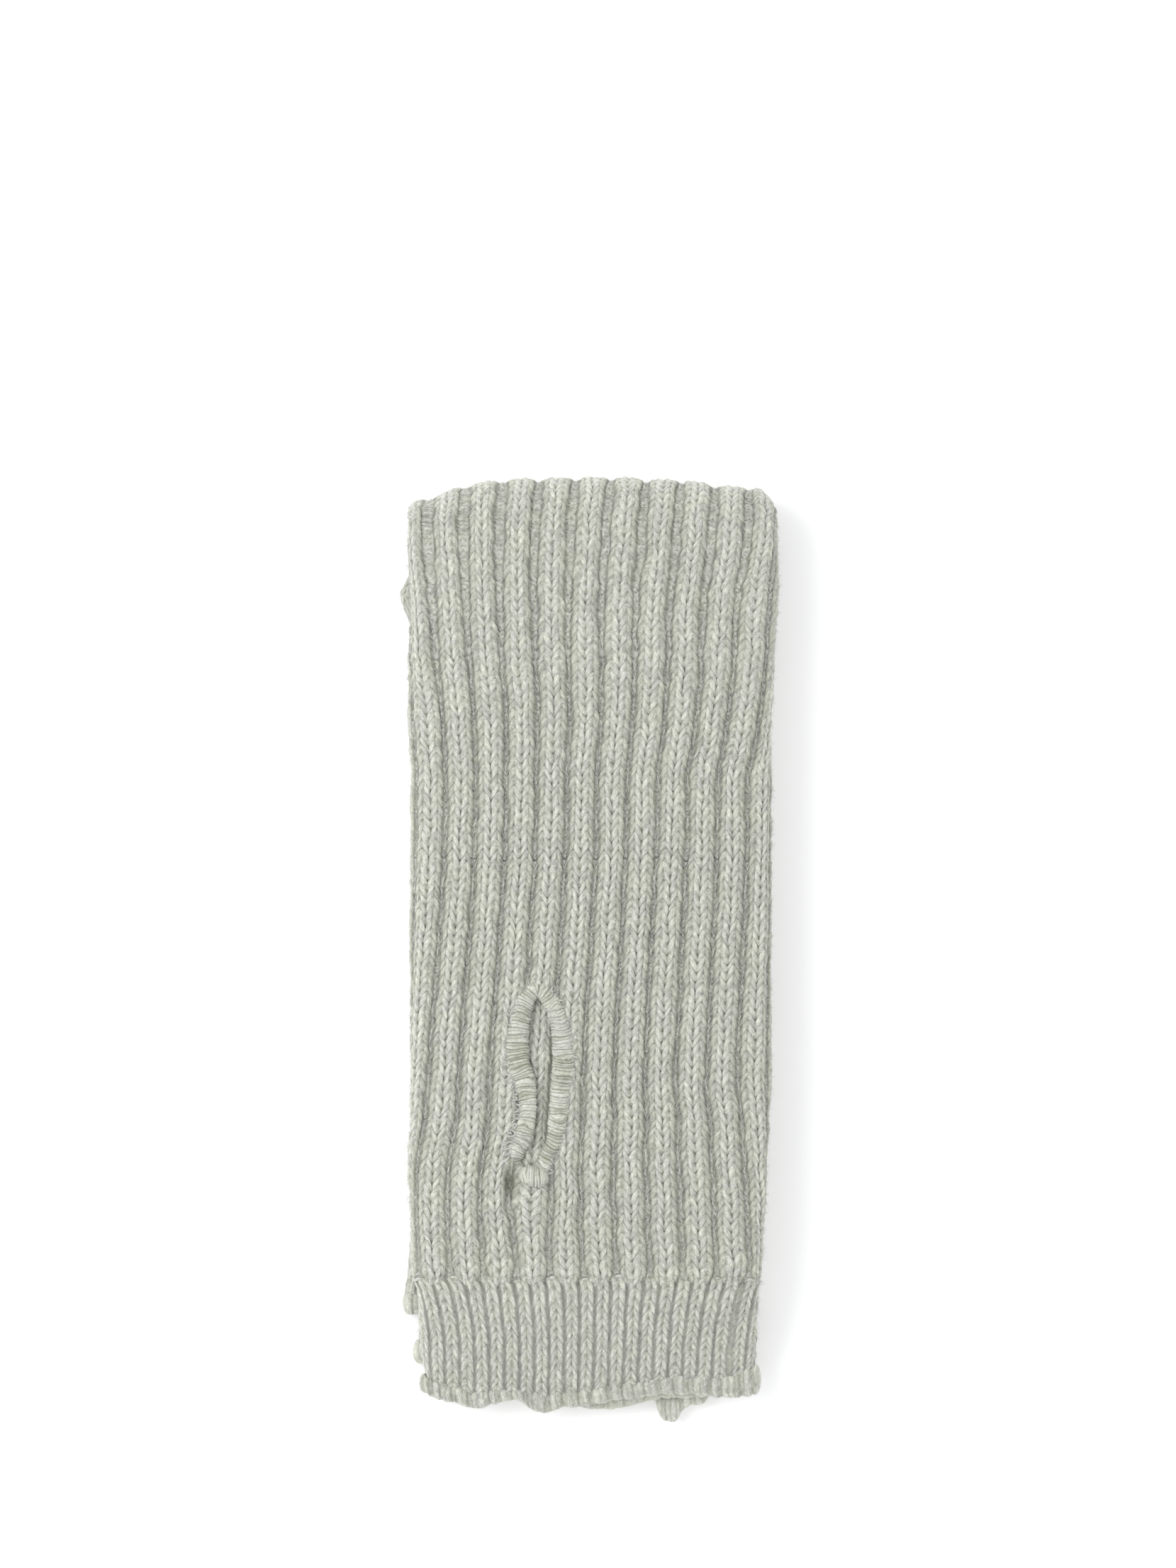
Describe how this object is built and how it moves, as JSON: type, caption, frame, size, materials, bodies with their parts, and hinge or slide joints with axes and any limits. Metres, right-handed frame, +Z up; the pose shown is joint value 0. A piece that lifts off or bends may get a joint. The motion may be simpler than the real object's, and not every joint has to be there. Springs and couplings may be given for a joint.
{
  "type": "pair of arm warmers",
  "caption": "Pair of ribbed knitted wool arm warmers with a thumb slit, narrow-rib hand cuffs and rolled edges, laid on each other and folded in half.",
  "frame": {"origin": "middle of the bounding box of the folded pair, on the surface it lies on", "axes": "+Y towards the fold, +X across the pair to its right as seen from above with the fold at the top, +Z up"},
  "size_m": [0.1038, 0.2582, 0.0268],
  "materials": {
    "rib_knit": "soft brushed wool knit, sage grey heather",
    "edge_thread": "soft wool yarn, overcast"
  },
  "bodies": {
    "root": {"outer_rib_tube": "rib_knit", "outer_hand_cuff": "rib_knit", "outer_cuff_edge": "rib_knit", "outer_arm_edge": "rib_knit", "thumb_edge": "edge_thread", "inner_layers": "rib_knit", "inner_cuff_edge": "rib_knit", "inner_arm_edge": "rib_knit"}
  },
  "joints": []
}
